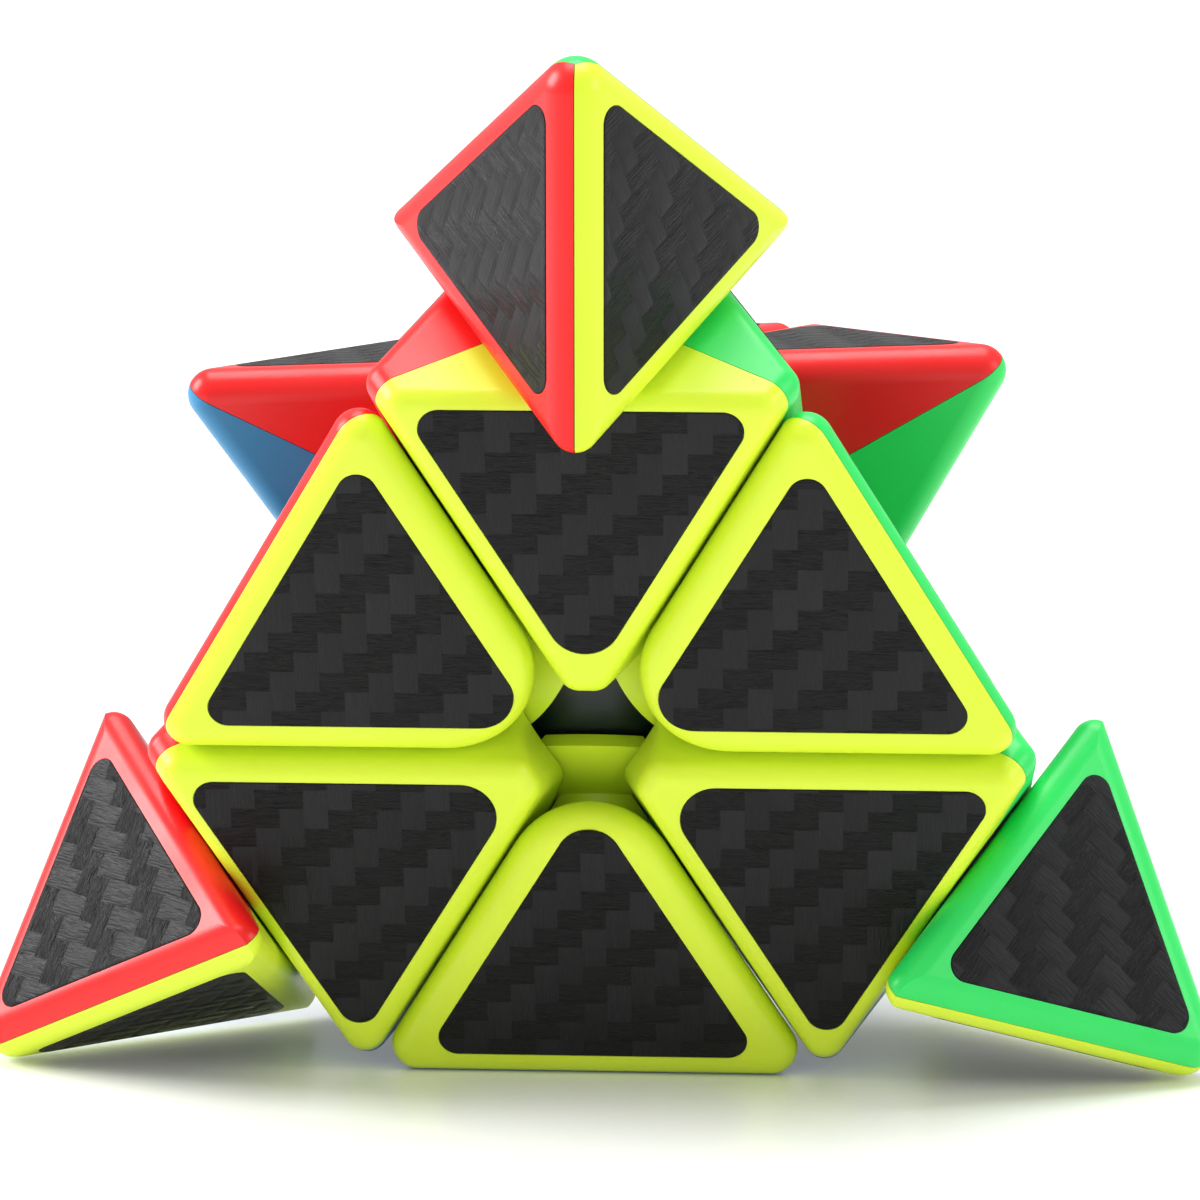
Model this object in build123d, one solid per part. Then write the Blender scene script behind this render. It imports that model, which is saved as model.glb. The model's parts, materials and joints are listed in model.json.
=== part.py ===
from build123d import *
import math
import os

# A four-sided twisty puzzle. It is modelled about the centre of its core, then stood on the ground.
# Four corners name every piece: a tip is at one corner, an axial piece under each tip, and an edge
# piece between two corners. A face has the colour that belongs to the corner opposite it.

# Driving dimensions, in millimetres and degrees
PUZZLE_EDGE = 98.0      # edge of the whole puzzle, measured over its rounded tips
TIP_ROUND = 2.6         # radius of a tip's slanting edges and of its point
TIP_BASE_ROUND = 1.8    # radius of a tip's edges round its cut
EDGE_ROUND = 2.1        # radius of an edge piece's edges
EDGE_INNER_ROUND = 7.2  # radius of an edge piece's inner edge, which shows at a face's centre
AXIAL_ROUND = 1.7       # radius of an axial piece's edges
GAP = 0.10              # clearance on each side of every cut between pieces
SEAM = 0.03             # half the fine seam between the shells of one piece
WALL = 1.6              # thickness of the hollow shells
LAYER_SHIFT = 1.4       # how much nearer the core each layer cut lies than in the even lattice
TIP_SHIFT = 0.3         # how much nearer the core each tip's cut lies than in the even lattice
AXIAL_BLUNT = 4.8       # how far an axial piece stops short of a face's centre
BACK_TURN = 57.5        # how far the back layer is turned about its own corner
TIP_TURN = {"top": 60.0, "left": -55.0, "right": 70.0, "back": 60.0}

# Mechanism: radii about the core's centre, then radii and stations along a corner's axis
CORE_RADIUS = 13.2
FOOT_INNER = 13.6
FOOT_OUTER = 15.0
FOOT_SPREAD = 43.0      # half-angle of a foot about its edge piece's direction
FOOT_PLAY = 0.3         # clearance between a foot and the stems beside it
FOOT_NECK = 5.0         # radius of the neck between a foot and its edge piece
FOOT_NECK_TOP = 21.0
FOOT_CUT = 2.6          # a foot stays this far on its own side of the core, along both its axes
SOCKET_RADIUS = 15.4
POST_RADIUS = 3.6
POST_TOP = 16.0
STEM_BORE = 3.9
STEM_RADIUS = 5.3
STEM_BOTTOM = 13.7
SEAT_BOTTOM = 16.25
SEAT_TOP = 17.85
SEAT_BORE = 2.2
CUP_RADIUS = 9.5
CUP_BORE = 7.6
CUP_TOP = 30.5
SPRING_RADIUS = 3.2
SPRING_WIRE = 0.4
SPRING_TURNS = 4
WASHER_BOTTOM = 23.0
WASHER_RADIUS = 4.2
WASHER_THICKNESS = 0.7
SCREW_RADIUS = 1.5
SCREW_BORE = 1.55
SCREW_END = 6.0
SCREW_HEAD_RADIUS = 3.5
SCREW_HEAD_HEIGHT = 2.2
TOP_HOLE = 8.45         # round hole in the top of an axial piece
HUB_RADIUS = 7.0
HUB_NECK = 4.5
HUB_HEAD = 5.6
HUB_LIP = 8.9
HUB_SKIRT = 7.3
HUB_BORE = 5.7
HUB_BOTTOM = 27.2
NEAR = 0.05             # working clearance between seated surfaces

# Stickers: side of the triangle before its corners are rounded, as a share of the pitch. Each is
# shifted from the middle of its facet, along the direction of the facet's inner point.
STICKER_THICKNESS = 0.3
STICKER_PROUD = 0.06    # how far a sticker stands out of the shallow pocket that it lies in
POCKET_CLEARANCE = 0.05
STICKER_SIDE = {"tip": 0.660, "axial": 0.760, "edge": 0.755}
STICKER_SHIFT = {"tip": -0.45, "axial": -1.0, "edge": 0.75}
STICKER_INNER_ROUND = {"tip": 1.35, "axial": 2.8, "edge": 2.6}
STICKER_OUTER_ROUND = {"tip": 1.35, "axial": 1.6, "edge": 1.5}

# The sharp tetrahedron that the rounded puzzle fits in. Its pitch is one piece's edge.
LATTICE_EDGE = PUZZLE_EDGE + 2 * TIP_ROUND * (math.sqrt(6) - 1)
PITCH = LATTICE_EDGE / 3
CORNER_REACH = LATTICE_EDGE * math.sqrt(6) / 4
FACE = CORNER_REACH / 3
LAYER_CUT = CORNER_REACH / 9 - LAYER_SHIFT
TIP_CUT = CORNER_REACH * 5 / 9 - TIP_SHIFT

FACET_REACH = {
    "tip": 2 * PITCH / math.sqrt(3),
    "axial": PITCH / math.sqrt(3),
    "edge": PITCH / math.sqrt(3),
}

CENTRE = Vector(0, 0, 0)
CORNERS = {
    "top": Vector(0, -1 / 3, math.sqrt(8) / 3),
    "left": Vector(-math.sqrt(2 / 3), -1 / 3, -math.sqrt(2) / 3),
    "right": Vector(math.sqrt(2 / 3), -1 / 3, -math.sqrt(2) / 3),
    "back": Vector(0, 1, 0),
}
FACE_COLOUR = {"back": "yellow", "right": "red", "left": "green", "top": "blue"}
SLAB_EDGES = [("top", "left"), ("top", "right"), ("left", "right")]
BACK_EDGES = [("back", "top"), ("back", "left"), ("back", "right")]
MODEL_SEAT = ("top", "back")
MODEL_SADDLE = (("top", "left"), "back")
LOWEST_EDGE = "edge_back_right"
FRONT_SUPPORTS = ("tip_left", "edge_left_right")
STANDING_TILTS = (5.0, 30.0)
TILT_STEPS = 16


def others(*corners):
    """The corners that are not named, in a fixed order."""
    return [name for name in CORNERS if name not in corners]


def convex(planes):
    """Solid inside every plane, each given as its outward normal and its distance from the centre."""
    solid = Box(4 * CORNER_REACH, 4 * CORNER_REACH, 4 * CORNER_REACH)
    for normal, distance in planes:
        outward = normal.normalized()
        plane = Plane(origin=outward * distance, z_dir=outward)
        solid = split(solid, bisect_by=plane, keep=Keep.BOTTOM)
    return solid


def keep_side(solid, normal):
    """The part of a solid on the side that the normal points to, past half a seam."""
    outward = normal.normalized()
    return split(solid, bisect_by=Plane(origin=outward * SEAM, z_dir=outward), keep=Keep.TOP)


def turned(profile):
    """Body of revolution about Z, from the (radius, height) corners of its section."""
    outline = Polyline(*[(radius, 0, height) for radius, height in profile], close=True)
    return revolve(make_face(outline), Axis.Z)


def along(corner, solid):
    """Stands a body of revolution on the axis through one corner."""
    return Plane(origin=CENTRE, z_dir=CORNERS[corner]) * solid


def cone(direction, half_angle):
    """Solid cone with its point at the centre, reaching past the edge pieces' feet."""
    reach = 2 * SOCKET_RADIUS
    section = [(0, 0), (reach * math.tan(math.radians(half_angle)), reach), (0, reach)]
    return Plane(origin=CENTRE, z_dir=direction) * turned(section)


def tip_block(corner, inset, cut=TIP_CUT + GAP):
    """Planes of a tip: the cut under it and the three faces, all moved in by the inset."""
    planes = [(-CORNERS[corner], -(cut + inset))]
    return convex(planes + [(-CORNERS[name], FACE - inset) for name in others(corner)])


def tip_body(corner, inset):
    """Rounded tip, moved in by the inset: its slanting edges and point are rounder than its base."""
    base = offset(
        tip_block(corner, TIP_BASE_ROUND), amount=TIP_BASE_ROUND - inset, kind=Kind.ARC
    )
    point = offset(tip_block(corner, TIP_ROUND, 0), amount=TIP_ROUND - inset, kind=Kind.ARC)
    return base & point


def axial_block(corner, inset):
    """Planes of an axial piece, with its three points at the faces' centres made blunt."""
    axis = CORNERS[corner]
    planes = [(axis, TIP_CUT - GAP - inset), (-axis, -(LAYER_CUT + GAP + inset))]
    for name in others(corner):
        away = CORNERS[name]
        inward = (away * axis.dot(away) - axis).normalized()
        planes.append((-away, FACE - inset))
        planes.append((away, LAYER_CUT - GAP - inset))
        planes.append((inward, -(AXIAL_BLUNT + inset)))
    return convex(planes)


def edge_block(pair, inset):
    """Planes of an edge piece: its two cuts and its two faces."""
    planes = [(-CORNERS[name], -(LAYER_CUT + GAP + inset)) for name in pair]
    return convex(planes + [(-CORNERS[name], FACE - inset) for name in others(*pair)])


def edge_wedge(pair, inset, inner_round):
    """Block of an edge piece with the edge that points at the core rounded."""
    outward = CORNERS[pair[0]] + CORNERS[pair[1]]
    block = edge_block(pair, inset)
    inner_edge = min(block.edges(), key=lambda edge: (edge @ 0.5).dot(outward))
    return fillet(inner_edge, inner_round)


def seat(corner, face):
    """Frame at the core with Z towards a corner and X to the side where that face lies."""
    axis = CORNERS[corner]
    side = axis * axis.dot(CORNERS[face]) - CORNERS[face]
    return Plane(origin=CENTRE, x_dir=side.normalized(), z_dir=axis)


def saddle(pair):
    """Frame at the core with Z towards an edge piece and X along that edge."""
    first, second = (CORNERS[name] for name in pair)
    return Plane(origin=CENTRE, x_dir=(first - second).normalized(), z_dir=first + second)


def carried(solid, source, target):
    """A copy of a solid, moved as the source frame moves to the target frame."""
    return target.location * source.location.inverse() * solid


def one_shell(corner, face, solid):
    """The third of a piece on a corner's axis that one of its faces takes."""
    for seam in others(corner, face):
        side = CORNERS[corner].cross(CORNERS[seam])
        if side.dot(CORNERS[face]) > 0:
            side = -side
        solid = keep_side(solid, side)
    return solid


def tip_shell(corner, face):
    """A third of a hollow tip, with a hole under it for the hub's neck."""
    solid = tip_body(corner, 0) - tip_body(corner, WALL)
    solid -= pocket("tip", face, [corner])
    solid -= along(corner, Pos(0, 0, TIP_CUT) * Cylinder(HUB_NECK + NEAR, 4 * WALL))
    return one_shell(corner, face, solid)


def tip_hub():
    """Turned hub under a tip: a head inside it, a boss, a snap lip and a skirt that guides it."""
    boss_top = TIP_CUT + GAP
    head_bottom = boss_top + WALL
    lip_top = TIP_CUT - GAP - WALL - GAP
    return turned([
        (0, head_bottom + WALL), (HUB_HEAD, head_bottom + WALL), (HUB_HEAD, head_bottom),
        (HUB_NECK, head_bottom), (HUB_NECK, boss_top), (HUB_RADIUS, boss_top),
        (HUB_RADIUS, lip_top), (HUB_LIP, lip_top), (HUB_LIP, lip_top - WALL / 2),
        (HUB_SKIRT, CUP_TOP + 2 * GAP), (HUB_SKIRT, HUB_BOTTOM), (HUB_BORE, HUB_BOTTOM),
        (HUB_BORE, boss_top - WALL), (0, boss_top - WALL),
    ])


def axial_shell(corner, face):
    """A third of a hollow axial piece, open at the top and hollowed under for the feet."""
    solid = offset(axial_block(corner, AXIAL_ROUND), amount=AXIAL_ROUND, kind=Kind.ARC)
    hollow = offset(axial_block(corner, AXIAL_ROUND), amount=AXIAL_ROUND - WALL, kind=Kind.ARC)
    solid -= hollow - Sphere(SOCKET_RADIUS + WALL)
    solid -= pocket("axial", face, [corner])
    solid -= Sphere(SOCKET_RADIUS)
    solid -= along(corner, Pos(0, 0, TIP_CUT) * Cylinder(TOP_HOLE, 4 * WALL))
    solid -= along(corner, Pos(0, 0, SOCKET_RADIUS) * Cylinder(STEM_RADIUS + NEAR, 4 * WALL))
    return one_shell(corner, face, solid)


def axial_sleeve():
    """Stem on the core's post, a seat for the spring, and a cup round the hub's skirt."""
    return turned([
        (STEM_BORE, STEM_BOTTOM), (STEM_RADIUS, STEM_BOTTOM), (STEM_RADIUS, SEAT_BOTTOM),
        (CUP_RADIUS, SEAT_BOTTOM), (CUP_RADIUS, CUP_TOP), (CUP_BORE, CUP_TOP),
        (CUP_BORE, SEAT_TOP), (SEAT_BORE, SEAT_TOP), (SEAT_BORE, SEAT_BOTTOM),
        (STEM_BORE, SEAT_BOTTOM),
    ])


def foot(pair):
    """Curved foot of an edge piece, held between the core and the axial pieces."""
    direction = CORNERS[pair[0]] + CORNERS[pair[1]]
    solid = Sphere(FOOT_OUTER) & cone(direction, FOOT_SPREAD)
    for corner in pair:
        axis = CORNERS[corner]
        solid = split(solid, bisect_by=Plane(origin=axis * FOOT_CUT, z_dir=axis), keep=Keep.TOP)
        stem = Pos(0, 0, SOCKET_RADIUS) * Cylinder(STEM_RADIUS + FOOT_PLAY, 2 * SOCKET_RADIUS)
        solid -= along(corner, stem)
    return solid


def neck(pair):
    """Short neck that joins a foot to its edge piece, kept within the edge piece's own planes."""
    post = Pos(0, 0, FOOT_NECK_TOP / 2) * Cylinder(FOOT_NECK, FOOT_NECK_TOP)
    direction = CORNERS[pair[0]] + CORNERS[pair[1]]
    solid = Plane(origin=CENTRE, z_dir=direction) * post
    return solid & edge_block(pair, 0)


def edge_half(pair, face):
    """Half of a hollow edge piece, with its half of the foot."""
    wedge = edge_wedge(pair, EDGE_ROUND, EDGE_INNER_ROUND - EDGE_ROUND)
    solid = offset(wedge, amount=EDGE_ROUND, kind=Kind.ARC)
    solid -= offset(wedge, amount=EDGE_ROUND - WALL, kind=Kind.ARC)
    solid += neck(pair)
    solid += foot(pair)
    solid -= Sphere(FOOT_INNER)
    solid -= pocket("edge", face, pair)
    side = CORNERS[pair[0]].cross(CORNERS[pair[1]])
    if side.dot(CORNERS[face]) > 0:
        side = -side
    return keep_side(solid, side)


def facet_outline(kind, face, corners, margin):
    """Rounded triangle on the facet from a face's centre towards the corners, and its plane."""
    spoke = sum((CORNERS[name] + CORNERS[face] / 3 for name in corners), CENTRE).normalized()
    middle = -CORNERS[face] * FACE + spoke * FACET_REACH[kind]
    point = spoke if kind == "tip" else -spoke
    origin = middle + point * STICKER_SHIFT[kind]
    plane = Plane(origin=origin, x_dir=point, z_dir=-CORNERS[face])
    reach = PITCH * STICKER_SIDE[kind] / math.sqrt(3) + 2 * margin
    outer = [(-reach / 2, side * reach * math.sqrt(3) / 2) for side in (-1, 1)]
    outline = make_face(Polyline((reach, 0), *outer, close=True))
    inner_vertex = outline.vertices().sort_by(Axis.X)[-1]
    outline = fillet(inner_vertex, STICKER_INNER_ROUND[kind] + margin)
    outer_vertices = outline.vertices().sort_by(Axis.X)[:2]
    return fillet(outer_vertices, STICKER_OUTER_ROUND[kind] + margin), plane


def sticker(kind, face, corners):
    """Sticker on one facet, sunk in its pocket but for the small height that it stands proud."""
    outline, plane = facet_outline(kind, face, corners, 0)
    bottom = Pos(0, 0, STICKER_PROUD - STICKER_THICKNESS)
    return plane * bottom * extrude(outline, STICKER_THICKNESS)


def pocket(kind, face, corners):
    """The shallow recess that one sticker lies in."""
    outline, plane = facet_outline(kind, face, corners, POCKET_CLEARANCE)
    bottom = Pos(0, 0, STICKER_PROUD - STICKER_THICKNESS)
    return plane * bottom * extrude(outline, 2 * STICKER_THICKNESS)


def core_spider():
    """Core ball with a post along each corner's axis, bored for the screw."""
    solid = Sphere(CORE_RADIUS)
    for corner in CORNERS:
        solid += along(corner, Pos(0, 0, POST_TOP / 2) * Cylinder(POST_RADIUS, POST_TOP))
    depth = POST_TOP - SCREW_END + 1
    for corner in CORNERS:
        bore = Pos(0, 0, POST_TOP - depth / 2) * Cylinder(SCREW_BORE, depth)
        solid -= along(corner, bore)
    return solid


def screw():
    """Screw with a round head and a hexagonal socket, from the washer down into the core."""
    head_bottom = WASHER_BOTTOM + WASHER_THICKNESS
    head_top = head_bottom + SCREW_HEAD_HEIGHT
    solid = turned([
        (0, SCREW_END), (SCREW_RADIUS, SCREW_END), (SCREW_RADIUS, head_bottom),
        (SCREW_HEAD_RADIUS, head_bottom), (SCREW_HEAD_RADIUS, head_top), (0, head_top),
    ])
    socket = extrude(RegularPolygon(SCREW_RADIUS, 6), SCREW_HEAD_HEIGHT / 2)
    return solid - Pos(0, 0, head_top - SCREW_HEAD_HEIGHT / 2) * socket


def spring():
    """Round-wire helical spring between the sleeve's seat and the washer."""
    bottom = SEAT_TOP + SPRING_WIRE + NEAR
    rise = WASHER_BOTTOM - SPRING_WIRE - NEAR - bottom
    path = Pos(0, 0, bottom) * Helix(rise / SPRING_TURNS, rise, SPRING_RADIUS)
    section = Plane(origin=path @ 0, z_dir=path % 0) * Circle(SPRING_WIRE)
    return sweep(section, path=path, is_frenet=True)


def washer():
    """Flat washer under the screw's head."""
    return turned([
        (SCREW_BORE, WASHER_BOTTOM), (WASHER_RADIUS, WASHER_BOTTOM),
        (WASHER_RADIUS, WASHER_BOTTOM + WASHER_THICKNESS),
        (SCREW_BORE, WASHER_BOTTOM + WASHER_THICKNESS),
    ])


def corner_shells(kind, model, corner):
    """Nodes of a piece's three shells, each carried from the one shell that was modelled."""
    source = seat(*MODEL_SEAT)
    return {
        f"{kind}_{corner}_{FACE_COLOUR[face]}_shell": [carried(model, source, seat(corner, face))]
        for face in others(corner)
    }


def axial_nodes(corner):
    """Nodes of one axial piece: three shells, the sleeve and three stickers."""
    nodes = corner_shells("axial", axial_shell(*MODEL_SEAT), corner)
    nodes[f"axial_{corner}_sleeve"] = [along(corner, axial_sleeve())]
    stickers = [sticker("axial", face, [corner]) for face in others(corner)]
    nodes[f"axial_{corner}_stickers"] = stickers
    return nodes


def tip_nodes(corner):
    """Nodes of one tip, before it is turned: three shells, the hub and three stickers."""
    nodes = corner_shells("tip", tip_shell(*MODEL_SEAT), corner)
    nodes[f"tip_{corner}_hub"] = [along(corner, tip_hub())]
    nodes[f"tip_{corner}_stickers"] = [sticker("tip", face, [corner]) for face in others(corner)]
    return nodes


def edge_nodes(pair):
    """Nodes of an edge piece's two halves, each carried from the half that was modelled."""
    nodes = {}
    for face in others(*pair):
        target = saddle(pair)
        if target.y_dir.dot(CORNERS[face]) < 0:
            target = saddle(pair[::-1])
        half = carried(edge_half(*MODEL_SADDLE), saddle(MODEL_SADDLE[0]), target)
        nodes[f"edge_{pair[0]}_{pair[1]}_{FACE_COLOUR[face]}_half"] = [half]
    return nodes


def build_nodes():
    """Every node as a list of solids, about the core's centre, with the layer and tips turned."""
    nodes = {
        "core_spider": [core_spider()],
        "core_screws": [along(corner, screw()) for corner in CORNERS],
        "core_springs": [along(corner, spring()) for corner in CORNERS],
        "core_washers": [along(corner, washer()) for corner in CORNERS],
    }
    back_nodes = {}
    for corner in CORNERS:
        group = back_nodes if corner == "back" else nodes
        group.update(axial_nodes(corner))
        group.update(turn_nodes(tip_nodes(corner), CORNERS[corner], TIP_TURN[corner]))
    for group, pairs, layer in ((nodes, SLAB_EDGES, "front"), (back_nodes, BACK_EDGES, "back")):
        for pair in pairs:
            group.update(edge_nodes(pair))
        group[f"edge_{layer}_stickers"] = [
            sticker("edge", face, pair) for pair in pairs for face in others(*pair)
        ]
    nodes.update(turn_nodes(back_nodes, CORNERS["back"], BACK_TURN))
    return nodes


def turn_nodes(group, axis, angle):
    """The same nodes turned by the right-hand rule about an axis through the core's centre."""
    line = Axis(CENTRE, axis)
    return {name: [solid.rotate(line, angle) for solid in solids] for name, solids in group.items()}


def lowest(nodes, prefix, tilt):
    """Lowest point of the nodes with this prefix, once they are tilted about X."""
    solids = [solid for name in nodes if name.startswith(prefix) for solid in nodes[name]]
    return min((Rot(X=tilt) * solid).bounding_box().min.Z for solid in solids)


def standing_tilt(nodes):
    """Tilt about X at which the front's bottom edge and the turned layer's lowest piece touch down.

    The layer's piece rises as the tilt grows, so the tilt is found by halving an interval.
    """
    low, high = STANDING_TILTS
    for _ in range(TILT_STEPS):
        tilt = (low + high) / 2
        front = min(lowest(nodes, prefix, tilt) for prefix in FRONT_SUPPORTS)
        if lowest(nodes, LOWEST_EDGE, tilt) < front:
            low = tilt
        else:
            high = tilt
    return (low + high) / 2


def main():
    nodes = build_nodes()
    tilt = standing_tilt(nodes)
    placed = {name: [Rot(X=tilt) * solid for solid in solids] for name, solids in nodes.items()}
    box = Compound([solid for solids in placed.values() for solid in solids]).bounding_box()
    lift = Pos(-(box.min.X + box.max.X) / 2, -(box.min.Y + box.max.Y) / 2, -box.min.Z)
    os.makedirs("parts", exist_ok=True)
    for name, solids in placed.items():
        moved = [lift * solid for solid in solids]
        export_step(moved[0] if len(moved) == 1 else Compound(moved), f"parts/{name}.step")
    print("tilt", round(tilt, 4), "core centre", lift.position, "size", box.size)
    print("nodes", len(placed))


if __name__ == "__main__":
    main()
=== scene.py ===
# %% [markdown]
# A pyramid twisty puzzle, looked at as a lesson in Blender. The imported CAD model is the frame: it
# already holds every coloured shell, the core, screws, springs, sleeves and hubs at true size. This
# script adds what CAD leaves plain: the plastic's finish, and the pressed woven pattern of the 36
# stickers, which is real relief here and not only a picture of it.

# %% Load the frame
import json
import math

import bpy
import numpy as np
from mathutils import Matrix, Vector


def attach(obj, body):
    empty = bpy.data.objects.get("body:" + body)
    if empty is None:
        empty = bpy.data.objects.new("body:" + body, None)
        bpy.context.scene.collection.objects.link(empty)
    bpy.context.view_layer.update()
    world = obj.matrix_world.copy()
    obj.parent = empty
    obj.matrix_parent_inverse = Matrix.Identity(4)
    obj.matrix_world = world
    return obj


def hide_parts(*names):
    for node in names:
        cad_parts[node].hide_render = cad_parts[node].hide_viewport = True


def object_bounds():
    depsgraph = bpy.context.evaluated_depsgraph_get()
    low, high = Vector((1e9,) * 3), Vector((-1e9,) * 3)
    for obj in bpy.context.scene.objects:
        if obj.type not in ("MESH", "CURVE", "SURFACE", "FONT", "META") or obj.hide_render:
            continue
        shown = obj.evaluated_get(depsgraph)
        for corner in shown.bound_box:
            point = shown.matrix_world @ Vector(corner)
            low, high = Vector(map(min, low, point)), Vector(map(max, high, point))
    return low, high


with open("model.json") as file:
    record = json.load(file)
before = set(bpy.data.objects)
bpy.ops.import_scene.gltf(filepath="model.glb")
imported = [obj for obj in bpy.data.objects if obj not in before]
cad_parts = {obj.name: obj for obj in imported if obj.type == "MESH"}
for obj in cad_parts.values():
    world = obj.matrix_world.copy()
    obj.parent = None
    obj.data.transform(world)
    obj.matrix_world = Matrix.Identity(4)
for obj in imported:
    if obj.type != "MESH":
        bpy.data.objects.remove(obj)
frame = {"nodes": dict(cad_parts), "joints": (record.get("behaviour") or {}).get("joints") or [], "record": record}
cad_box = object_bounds()
MM = 0.001

# %% [markdown]
# The puzzle is a regular tetrahedron, so nearly everything follows from the directions of its four
# corners as seen from the core. The joints carry those directions, because every tip turns about
# its own corner's axis. The sharp tetrahedron is a little larger than the rounded puzzle, and one
# piece's edge, the pitch, is a third of its edge.

# %% The lattice, from the joints and the CAD box
TIP_ROUND = 2.6
PUZZLE_EDGE = (cad_box[1][0] - cad_box[0][0]) / MM
PITCH = (PUZZLE_EDGE + 2 * TIP_ROUND * (math.sqrt(6) - 1)) / 3
FACE_DISTANCE = PITCH * math.sqrt(6) / 4

joints = {joint["name"]: joint for joint in frame["joints"]}
CORE = np.array(joints["back_layer_turn"]["pos_m"]) / MM
CORNERS = {
    name: np.array(joints[f"tip_{name}_turn"]["axis"]) for name in ("top", "left", "right", "back")
}
FACE_COLOUR = {"back": "yellow", "right": "red", "left": "green", "top": "blue"}
SLAB_EDGES = [("top", "left"), ("top", "right"), ("left", "right")]
BACK_EDGES = [("back", "top"), ("back", "left"), ("back", "right")]
print("pitch", round(PITCH, 3), "core centre", CORE)

# %% [markdown]
# The camera comes first, because every other choice is judged through it. A long lens, far away,
# keeps the edges of the front face nearly parallel. It stands a little to the right and looks
# slightly down, with its aim just above the core.

# %% Camera
CAMERA_AZIMUTH = math.radians(3.36)
CAMERA_HEIGHT = math.radians(10.74)
CAMERA_DISTANCE = 440.2
CAMERA_LENS = 164.3
AIM_ABOVE_CORE = 2.0
AIM_LEFT_OF_CORE = 0.2


def add_camera():
    """Camera in the direction (sin a cos h, -cos a cos h, sin h), aimed at a point by the core."""
    flat = math.cos(CAMERA_HEIGHT)
    back = np.array([
        math.sin(CAMERA_AZIMUTH) * flat, -math.cos(CAMERA_AZIMUTH) * flat, math.sin(CAMERA_HEIGHT)
    ])
    right = np.array([math.cos(CAMERA_AZIMUTH), math.sin(CAMERA_AZIMUTH), 0])
    up = np.cross(back, right)
    aim = CORE + up * AIM_ABOVE_CORE - right * AIM_LEFT_OF_CORE
    data = bpy.data.cameras.new("camera")
    data.lens = CAMERA_LENS
    data.sensor_width = 36
    camera = bpy.data.objects.new("camera", data)
    place = aim + back * CAMERA_DISTANCE
    camera.matrix_world = Matrix(np.column_stack([right, up, back, place * MM]).tolist()).to_4x4()
    bpy.context.scene.collection.objects.link(camera)
    bpy.context.scene.camera = camera


add_camera()

# %% [markdown]
# The light is a white studio: a pale floor that runs out of view, a white sky, and three soft
# boxes. The one on the left gives the left-hand facets their grey gleam. The front is left without
# a lamp, so the facets that face the camera reflect only the floor and stay dark.

# %% Floor, sky and soft boxes
FLOOR_HALF = 4.0
FLOOR_ROUGHNESS = 0.32
# The floor's glow is painted light, weak by the puzzle and strong far from it, between these distances in metres.
GLOW_START = 0.12
GLOW_END = 0.90
PAINTED_FLOOR_LIGHT_NEAR = 0.02
PAINTED_FLOOR_LIGHT_FAR = 0.34
SKY_STRENGTH = 0.66


def new_material(name, roughness):
    """A node material with one Principled shader, returned with its tree, shader and builder."""
    material = bpy.data.materials.new(name)
    material.use_nodes = True
    tree = material.node_tree
    shader = tree.nodes["Principled BSDF"]
    shader.inputs["Roughness"].default_value = roughness
    return material, tree, shader


def node(tree, kind, inputs=(), **settings):
    """Adds a shader node. Inputs are (socket, value or output socket) pairs."""
    made = tree.nodes.new(kind)
    for name, value in settings.items():
        setattr(made, name, value)
    for socket, value in inputs:
        if isinstance(value, bpy.types.NodeSocket):
            tree.links.new(value, made.inputs[socket])
        else:
            made.inputs[socket].default_value = value
    return made


def add_floor():
    """A satin white floor with a faint grain and painted light: it glows more further from the puzzle, leaving the
    floor near it darker.
    """
    corners = [(x * FLOOR_HALF, y * FLOOR_HALF, 0) for x, y in ((-1, -1), (1, -1), (1, 1), (-1, 1))]
    mesh = bpy.data.meshes.new("floor")
    mesh.from_pydata(corners, [], [(0, 1, 2, 3)])
    material, tree, shader = new_material("floor_white", FLOOR_ROUGHNESS)
    place = node(tree, "ShaderNodeTexCoord").outputs["Object"]
    grain = node(tree, "ShaderNodeTexNoise", [("Vector", place), ("Scale", 900.0), ("Detail", 3.0)])
    tone = node(tree, "ShaderNodeMapRange", [
        ("Value", grain.outputs["Fac"]), ("To Min", 0.90), ("To Max", 0.93)
    ])
    tree.links.new(tone.outputs["Result"], shader.inputs["Base Color"])
    shader.inputs["Emission Color"].default_value = (1, 1, 1, 1)
    # Painted light: emission that grows with distance, so the far floor stays white and the floor near the puzzle
    # stays darker.
    reach = node(tree, "ShaderNodeVectorMath", [("Vector", place)], operation="LENGTH")
    glow = node(tree, "ShaderNodeMapRange", [
        ("Value", reach.outputs["Value"]), ("From Min", GLOW_START), ("From Max", GLOW_END),
        ("To Min", PAINTED_FLOOR_LIGHT_NEAR), ("To Max", PAINTED_FLOOR_LIGHT_FAR),
    ])
    tree.links.new(glow.outputs["Result"], shader.inputs["Emission Strength"])
    mesh.materials.append(material)
    floor = bpy.data.objects.new("floor", mesh)
    bpy.context.scene.collection.objects.link(floor)


def soft_box(name, place, aim, size, power):
    """A square area lamp at a place in metres, turned to face its aim."""
    data = bpy.data.lights.new(name, "AREA")
    data.size = size
    data.energy = power
    lamp = bpy.data.objects.new(name, data)
    lamp.location = place
    lamp.rotation_mode = "QUATERNION"
    lamp.rotation_quaternion = (Vector(aim) - Vector(place)).to_track_quat("-Z", "Y")
    bpy.context.scene.collection.objects.link(lamp)


def add_sky():
    """An even white sky."""
    world = bpy.data.worlds.new("studio")
    world.use_nodes = True
    background = world.node_tree.nodes["Background"]
    background.inputs["Color"].default_value = (1, 1, 1, 1)
    background.inputs["Strength"].default_value = SKY_STRENGTH
    bpy.context.scene.world = world


middle = CORE * MM
add_floor()
add_sky()
soft_box("key_left", (-0.86, 0.02, 0.52), middle, 0.50, 10.0)
soft_box("fill_right", (0.85, -0.25, 0.40), middle, 0.40, 2.0)
soft_box("top", (0.0, 0.15, 0.95), middle, 0.70, 9.0)
bpy.context.scene.view_settings.view_transform = "Standard"

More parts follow.
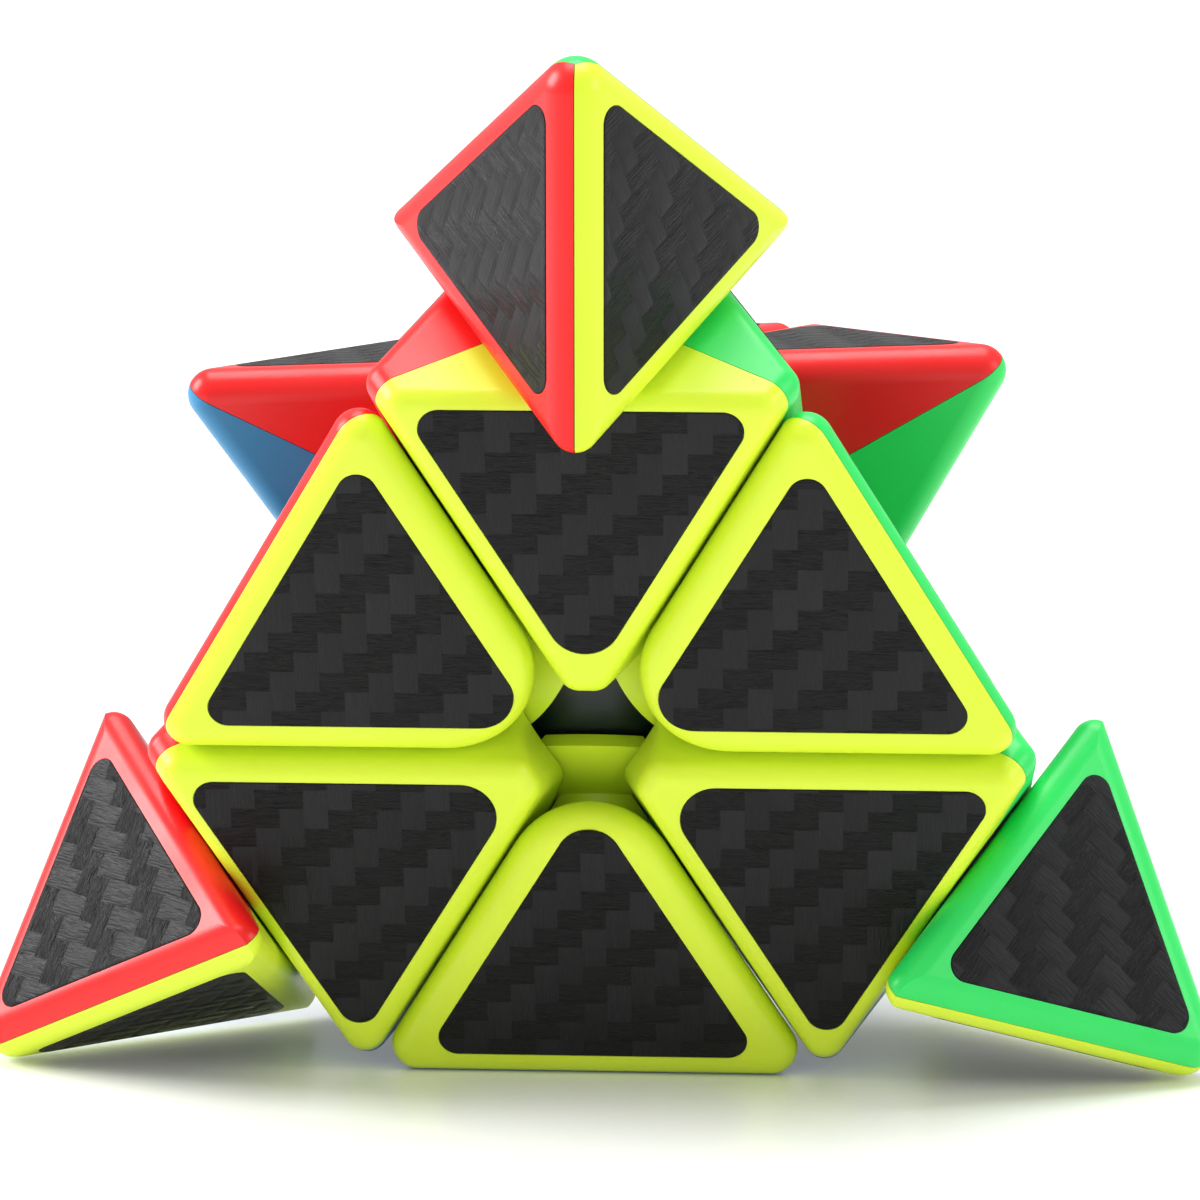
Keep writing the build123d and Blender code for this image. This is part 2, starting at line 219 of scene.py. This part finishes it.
# %% [markdown]
# The shells are moulded in a bright satin plastic, each in the colour of its face. Such plastic is
# never one even tone: the pigment clouds a little, the tool leaves a fine orange-peel skin, and
# handling rubs the gloss unevenly. Light also sinks in a little way before it comes back, which is
# what makes the yellow glow, so the shader gets some subsurface scattering.

# %% Moulded plastic
PLASTICS = {
    "yellow_plastic": ((0.70, 0.87, 0.045), (0.64, 0.80, 0.025)),
    "red_plastic": ((0.84, 0.014, 0.014), (0.74, 0.008, 0.008)),
    "green_plastic": ((0.030, 0.72, 0.135), (0.015, 0.60, 0.09)),
    "blue_plastic": ((0.030, 0.26, 0.50), (0.015, 0.19, 0.40)),
    "core_black": ((0.004, 0.012, 0.011), (0.002, 0.006, 0.006)),
    "sleeve_black": ((0.020, 0.020, 0.022), (0.012, 0.012, 0.013)),
    "hub_black": ((0.030, 0.030, 0.032), (0.018, 0.018, 0.02)),
}


def plastic(name, light, dark, roughness=0.34, glow=0.10):
    """Pigment clouds between two tones, an orange-peel skin, and gloss that wanders."""
    material, tree, shader = new_material(name + "_look", roughness)
    place = node(tree, "ShaderNodeTexCoord").outputs["Object"]
    clouds = node(tree, "ShaderNodeTexNoise", [("Vector", place), ("Scale", 70.0), ("Detail", 4.0)])
    colour = node(tree, "ShaderNodeMix", [
        ("Factor", clouds.outputs["Fac"]), ("A", (*dark, 1)), ("B", (*light, 1))
    ], data_type="RGBA")
    tree.links.new(colour.outputs["Result"], shader.inputs["Base Color"])
    rubbed = node(tree, "ShaderNodeTexNoise", [
        ("Vector", place), ("Scale", 160.0), ("Detail", 5.0)
    ])
    gloss = node(tree, "ShaderNodeMapRange", [
        ("Value", rubbed.outputs["Fac"]), ("From Min", 0.3), ("From Max", 0.7),
        ("To Min", roughness - 0.05), ("To Max", roughness + 0.06),
    ])
    tree.links.new(gloss.outputs["Result"], shader.inputs["Roughness"])
    peel = node(tree, "ShaderNodeTexNoise", [("Vector", place), ("Scale", 1400.0), ("Detail", 2.0)])
    skin = node(tree, "ShaderNodeBump", [
        ("Height", peel.outputs["Fac"]), ("Strength", 0.10), ("Distance", 0.00005)
    ])
    tree.links.new(skin.outputs["Normal"], shader.inputs["Normal"])
    shader.inputs["IOR"].default_value = 1.42
    shader.inputs["Subsurface Weight"].default_value = glow
    shader.inputs["Subsurface Radius"].default_value = (1.0, 1.0, 0.5)
    shader.inputs["Subsurface Scale"].default_value = 0.0008
    return material


looks = {slot: plastic(slot, *tones) for slot, tones in PLASTICS.items()}

# %% [markdown]
# Screws, springs and washers are zinc-plated steel. They sit deep inside and only show through the
# axial pieces' top holes, so their finish is simple: metal with a fine grain.

# %% Plated steel


def plated_steel():
    """Zinc plate: pale metal whose tone and gloss follow one fine noise."""
    material, tree, shader = new_material("plated_steel_look", 0.3)
    place = node(tree, "ShaderNodeTexCoord").outputs["Object"]
    grain = node(tree, "ShaderNodeTexNoise", [("Vector", place), ("Scale", 800.0), ("Detail", 6.0)])
    colour = node(tree, "ShaderNodeMix", [
        ("Factor", grain.outputs["Fac"]), ("A", (0.50, 0.50, 0.53, 1)), ("B", (0.72, 0.73, 0.76, 1))
    ], data_type="RGBA")
    tree.links.new(colour.outputs["Result"], shader.inputs["Base Color"])
    gloss = node(tree, "ShaderNodeMapRange", [
        ("Value", grain.outputs["Fac"]), ("To Min", 0.22), ("To Max", 0.40)
    ])
    tree.links.new(gloss.outputs["Result"], shader.inputs["Roughness"])
    shader.inputs["Metallic"].default_value = 1.0
    return material


looks["steel"] = plated_steel()

# %% [markdown]
# The stickers are a film pressed with a twill weave. Flat strips, called tows, run both ways, and
# each one passes over two and under two of the others. Every row is shifted by one tow, which
# draws the diagonal steps. In tow units, with whole parts i and j, the cross tow lies on top where
# (i - j) mod 4 is less than 2. That one rule makes both the relief here and the finish below.

# %% The weave as relief
TOW_ACROSS = 1.9
TOW_UP = 1.7
RELIEF = 0.10
CROWN_DROP = 0.85
END_DROP = 0.75
FLOAT = 2
REPEAT = 2 * FLOAT


def weave_height(u, v):
    """Height from 0 to 1: each float is crowned across its tow and dips at both of its ends."""
    phase = np.mod(np.floor(u) - np.floor(v), REPEAT)
    part_u, part_v = u - np.floor(u), v - np.floor(v)
    cross = phase < FLOAT
    across = np.where(cross, part_v, part_u)
    along = np.where(cross, phase + part_u, REPEAT - 1 - phase + part_v) / FLOAT
    crown = 1 - CROWN_DROP * np.abs(2 * across - 1) ** 3
    return crown * (1 - END_DROP * np.abs(2 * along - 1) ** 4)


sample = np.linspace(0, REPEAT, 99)
print("mean relief", weave_height(*np.meshgrid(sample, sample)).mean())

# %% [markdown]
# Each sticker is a triangle with rounded corners, lying in a shallow pocket. Its outline is three
# arcs joined by straight sides. Rings of that outline, scaled towards the middle, carry a side
# wall, a rolled edge, a flat rim and then the woven field, which closes at one point in the middle.

# %% One sticker as a closed surface
THICKNESS = 0.3
PROUD = 0.06
ARC_POINTS = 14
SIDE_POINTS = 90
FIELD_RINGS = 50
RIM = 0.35
ROLL = 0.05
ROLL_MIDDLE = 0.3 * ROLL
FADE_RINGS = 3
STICKERS = {
    "tip": {"reach": 2 / math.sqrt(3), "side": 0.660, "shift": -0.45, "rounds": (1.35, 1.35)},
    "axial": {"reach": 1 / math.sqrt(3), "side": 0.760, "shift": -1.0, "rounds": (2.8, 1.6)},
    "edge": {"reach": 1 / math.sqrt(3), "side": 0.755, "shift": 0.75, "rounds": (2.6, 1.5)},
}


def rounded_triangle(reach, inner_round, outer_round):
    """Anticlockwise outline with one corner on +X: an arc at each corner, then a straight side."""
    swing = np.radians(np.linspace(-60, 60, ARC_POINTS))
    arcs = []
    for corner, radius in enumerate((inner_round, outer_round, outer_round)):
        heading = math.tau * corner / 3
        middle_of_arc = (reach - 2 * radius) * np.array([math.cos(heading), math.sin(heading)])
        arcs.append(middle_of_arc + radius * np.column_stack([
            np.cos(heading + swing), np.sin(heading + swing)
        ]))
    share = np.linspace(0, 1, SIDE_POINTS + 2)[1:-1, None]
    sides = [a[-1] * (1 - share) + b[0] * share for a, b in zip(arcs, arcs[1:] + arcs[:1])]
    return np.vstack([part for pair in zip(arcs, sides) for part in pair])


def sticker_rings(outline, reach, weave):
    """Points (x, y, z) of all rings, from the bottom up: wall, rolled edge, rim and woven field.

    A ring inset by d is the outline scaled by 1 - 2 d / reach, because reach / 2 is the distance
    from the middle to a side. The relief fades in over the field's first two rings.
    """
    inset = [0, 0, ROLL_MIDDLE, ROLL, RIM]
    height = [PROUD - THICKNESS, PROUD - ROLL, PROUD - ROLL_MIDDLE, PROUD, PROUD]
    rings = [
        np.column_stack([outline * (1 - 2 * d / reach), np.full(len(outline), z)])
        for d, z in zip(inset, height)
    ]
    field = np.linspace(1 - 2 * RIM / reach, 0, FIELD_RINGS + 2)[1:-1]
    for number, scale in enumerate(field):
        flat = outline * scale
        depth = RELIEF * (1 - weave_height(*weave(flat).T)) * min(1, (number + 1) / FADE_RINGS)
        rings.append(np.column_stack([flat, PROUD - depth]))
    return np.vstack(rings)


def ring_faces(rings, around):
    """Quads between neighbouring rings, then a fan to the bottom's middle and one to the top's."""
    step = np.arange(around)
    following = (step + 1) % around
    base = (np.arange(rings - 1) * around)[:, None]
    quads = np.stack([
        base + step, base + following, base + around + following, base + around + step
    ], axis=-1).reshape(-1, 4)
    last = (rings - 1) * around
    bottom, top = rings * around, rings * around + 1
    under = np.column_stack([np.full(around, bottom), following, step])
    over = np.column_stack([last + step, last + following, np.full(around, top)])
    return quads, np.vstack([under, over])


def fill_mesh(name, points, quads, triangles, weave_uv):
    """Mesh from whole arrays, smooth, with the weave's own coordinates stored as a UV map."""
    mesh = bpy.data.meshes.new(name)
    loops = np.concatenate([quads.ravel(), triangles.ravel()])
    sizes = np.concatenate([np.full(len(quads), 4), np.full(len(triangles), 3)])
    mesh.vertices.add(len(points))
    mesh.vertices.foreach_set("co", points.ravel())
    mesh.loops.add(len(loops))
    mesh.loops.foreach_set("vertex_index", loops.astype(np.int32))
    mesh.polygons.add(len(sizes))
    starts = np.concatenate([[0], np.cumsum(sizes)[:-1]])
    mesh.polygons.foreach_set("loop_start", starts.astype(np.int32))
    mesh.polygons.foreach_set("use_smooth", np.ones(len(sizes), dtype=bool))
    layer = mesh.uv_layers.new(name="weave")
    layer.data.foreach_set("uv", weave_uv[loops].ravel())
    mesh.update(calc_edges=True)
    mesh.validate()
    return mesh


# %% [markdown]
# The finish follows the same rule as the relief. The shader works out which tow is on top, numbers
# its float, and stretches fine noise along it. Those streaks are the filaments: they shift the
# black a little, vary the gloss, and raise a very fine grain. Each float also gets its own tone.

# %% Woven film
UP_TONE = 0.0100
CROSS_TONE = 0.0040
STREAKS = 13.0
QUARTER_TURN = 0.25


def calc(tree, operation, *values):
    """One math node, returning its output."""
    return node(tree, "ShaderNodeMath", list(enumerate(values)), operation=operation).outputs[0]


def choose(tree, picked, if_one, if_zero):
    """The first value where picked is 1 and the second where it is 0."""
    return node(tree, "ShaderNodeMix", [
        ("Factor", picked), ("A", if_zero), ("B", if_one)
    ], data_type="FLOAT").outputs["Result"]


def carbon_film():
    """Black pressed film. Light spreads across the filaments, so the two ways gleam apart."""
    material, tree, shader = new_material("carbon_sticker_look", 0.4)
    map_uv = node(tree, "ShaderNodeUVMap", uv_map="weave").outputs["UV"]
    split_uv = node(tree, "ShaderNodeSeparateXYZ", [("Vector", map_uv)])
    u, v = split_uv.outputs["X"], split_uv.outputs["Y"]
    i, j = calc(tree, "FLOOR", u), calc(tree, "FLOOR", v)
    phase = calc(tree, "FLOORED_MODULO", calc(tree, "SUBTRACT", i, j), float(REPEAT))
    cross = calc(tree, "LESS_THAN", phase, FLOAT - 0.5)
    column = choose(tree, cross, calc(tree, "SUBTRACT", i, phase), i)
    up_start = calc(tree, "SUBTRACT", calc(tree, "ADD", j, phase), REPEAT - 1.0)
    row = choose(tree, cross, j, up_start)
    float_id = node(tree, "ShaderNodeCombineXYZ", [("X", column), ("Y", row), ("Z", cross)])
    tone = node(tree, "ShaderNodeTexWhiteNoise", [("Vector", float_id.outputs["Vector"])])
    along = choose(tree, cross, u, v)
    across = calc(tree, "MULTIPLY", choose(tree, cross, v, u), STREAKS)
    fibre = node(tree, "ShaderNodeCombineXYZ", [
        ("X", along), ("Y", across), ("Z", calc(tree, "MULTIPLY", tone.outputs["Value"], 9.0))
    ])
    streak = node(tree, "ShaderNodeTexNoise", [
        ("Vector", fibre.outputs["Vector"]), ("Scale", 1.0), ("Detail", 3.0)
    ]).outputs["Fac"]
    base = choose(tree, cross, CROSS_TONE, UP_TONE)
    own_tone = calc(tree, "MULTIPLY", tone.outputs["Value"], 0.4)
    lifted = calc(tree, "MULTIPLY", base, calc(tree, "ADD", 0.80, own_tone))
    black = calc(tree, "MULTIPLY", lifted, calc(tree, "ADD", 0.5, streak))
    tinted = node(tree, "ShaderNodeCombineColor", [
        ("Red", black), ("Green", black), ("Blue", calc(tree, "MULTIPLY", black, 1.12))
    ])
    tree.links.new(tinted.outputs["Color"], shader.inputs["Base Color"])
    gloss = node(tree, "ShaderNodeMapRange", [
        ("Value", streak), ("From Min", 0.3), ("From Max", 0.7),
        ("To Min", choose(tree, cross, 0.24, 0.30)), ("To Max", choose(tree, cross, 0.46, 0.42)),
    ])
    tree.links.new(gloss.outputs["Result"], shader.inputs["Roughness"])
    grain = node(tree, "ShaderNodeBump", [
        ("Height", streak), ("Strength", choose(tree, cross, 1.0, 0.5)), ("Distance", 0.00016)
    ])
    tree.links.new(grain.outputs["Normal"], shader.inputs["Normal"])
    lengthwise = node(tree, "ShaderNodeTangent", direction_type="UV_MAP", uv_map="weave")
    tree.links.new(lengthwise.outputs["Tangent"], shader.inputs["Tangent"])
    quarter = choose(tree, cross, 0.0, QUARTER_TURN)
    tree.links.new(quarter, shader.inputs["Anisotropic Rotation"])
    shader.inputs["Anisotropic"].default_value = 0.7
    shader.inputs["IOR"].default_value = 1.27
    return material


looks["carbon_sticker"] = carbon_film()
print("nodes in the woven film", len(looks["carbon_sticker"].node_tree.nodes))

# %% [markdown]
# A sticker's place comes from the lattice: a face, and the corners that its facet lies towards. The
# turned layer and the turned tips carry their stickers round with them, so those are turned about
# the same axes by the same angles as in the CAD. All stickers on a face are cut from the sheet in
# one direction, along the edge between two of that face's corners.

# %% Lay the 36 stickers
BACK_TURN = 57.5
TIP_TURN = {"top": 60.0, "left": -55.0, "right": 70.0, "back": 60.0}
SHEET_EDGE = {
    "back": ("left", "right"), "right": ("left", "back"), "left": ("back", "top"),
    "top": ("left", "right"),
}
draw = np.random.default_rng(11)


def turned_about(points, axis, degrees):
    """Points turned about an axis through the core: Rodrigues' rotation formula."""
    angle = math.radians(degrees)
    lengthwise = np.outer(points @ axis, axis) * (1 - math.cos(angle))
    return points * math.cos(angle) + np.cross(axis, points) * math.sin(angle) + lengthwise


def lay_sticker(kind, face, corners, body, node_name, turns):
    """Builds one sticker on its facet, turns it with its piece, and hangs it on its body."""
    form = STICKERS[kind]
    normal = -CORNERS[face]
    spoke = sum(CORNERS[name] + CORNERS[face] / 3 for name in corners)
    spoke = spoke / np.linalg.norm(spoke)
    point = spoke if kind == "tip" else -spoke
    origin = normal * FACE_DISTANCE + spoke * form["reach"] * PITCH + point * form["shift"]
    side = np.cross(normal, point)
    first, second = SHEET_EDGE[face]
    sheet = CORNERS[second] - CORNERS[first]
    heading = math.atan2(sheet @ side, sheet @ point)
    cosine, sine = math.cos(heading), math.sin(heading)
    start = draw.uniform(0, REPEAT, 2)

    def weave(flat):
        """Position in tow units, across and up the sheet."""
        across = (flat[:, 0] * cosine + flat[:, 1] * sine) / TOW_ACROSS
        up = (flat[:, 1] * cosine - flat[:, 0] * sine) / TOW_UP
        return np.column_stack([across, up]) + start

    reach = PITCH * form["side"] / math.sqrt(3)
    outline = rounded_triangle(reach, *form["rounds"])
    rings = sticker_rings(outline, reach, weave)
    floor_point = [0, 0, PROUD - THICKNESS]
    top_depth = RELIEF * (1 - weave_height(*weave(np.zeros((1, 2))).T))[0]
    local = np.vstack([rings, floor_point, [0, 0, PROUD - top_depth]])
    quads, triangles = ring_faces(len(rings) // len(outline), len(outline))
    placed = origin + local @ np.array([point, side, normal])
    for corner, degrees in turns:
        placed = turned_about(placed, CORNERS[corner], degrees)
    name = "_".join(["sticker", kind, *corners, FACE_COLOUR[face]])
    mesh = fill_mesh(name, (placed + CORE) * MM, quads, triangles, weave(local[:, :2]))
    mesh.materials.append(looks["carbon_sticker"])
    piece = bpy.data.objects.new(name, mesh)
    bpy.context.scene.collection.objects.link(piece)
    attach(piece, body)
    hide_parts(node_name)
    return piece


def others(*corners):
    """The corners that are not named, in a fixed order."""
    return [name for name in CORNERS if name not in corners]


pieces = []
for corner in CORNERS:
    layer_turn = [("back", BACK_TURN)] if corner == "back" else []
    body = "back_layer" if corner == "back" else "slab"
    for face in others(corner):
        node_name = f"axial_{corner}_stickers"
        pieces.append(lay_sticker("axial", face, (corner,), body, node_name, layer_turn))
        node_name = f"tip_{corner}_stickers"
        turns = [(corner, TIP_TURN[corner])] + layer_turn
        pieces.append(lay_sticker("tip", face, (corner,), f"tip_{corner}", node_name, turns))
for pairs, body, layer, layer_turn in (
    (SLAB_EDGES, "slab", "front", []), (BACK_EDGES, "back_layer", "back", [("back", BACK_TURN)])
):
    for pair in pairs:
        for face in others(*pair):
            node_name = f"edge_{layer}_stickers"
            pieces.append(lay_sticker("edge", face, pair, body, node_name, layer_turn))
print("stickers", len(pieces), "faces in all", sum(len(piece.data.polygons) for piece in pieces))

# %% [markdown]
# Every CAD node keeps its shape and gets the finish of its material slot.

# %% Give the CAD nodes their finish
slots = {row["node"]: row["material_slot"] for row in frame["record"]["subparts"]}
for name, piece in frame["nodes"].items():
    if slots[name] in looks:
        piece.data.materials[0] = looks[slots[name]]
print("nodes with a finish", sum(slots[name] in looks for name in frame["nodes"]))
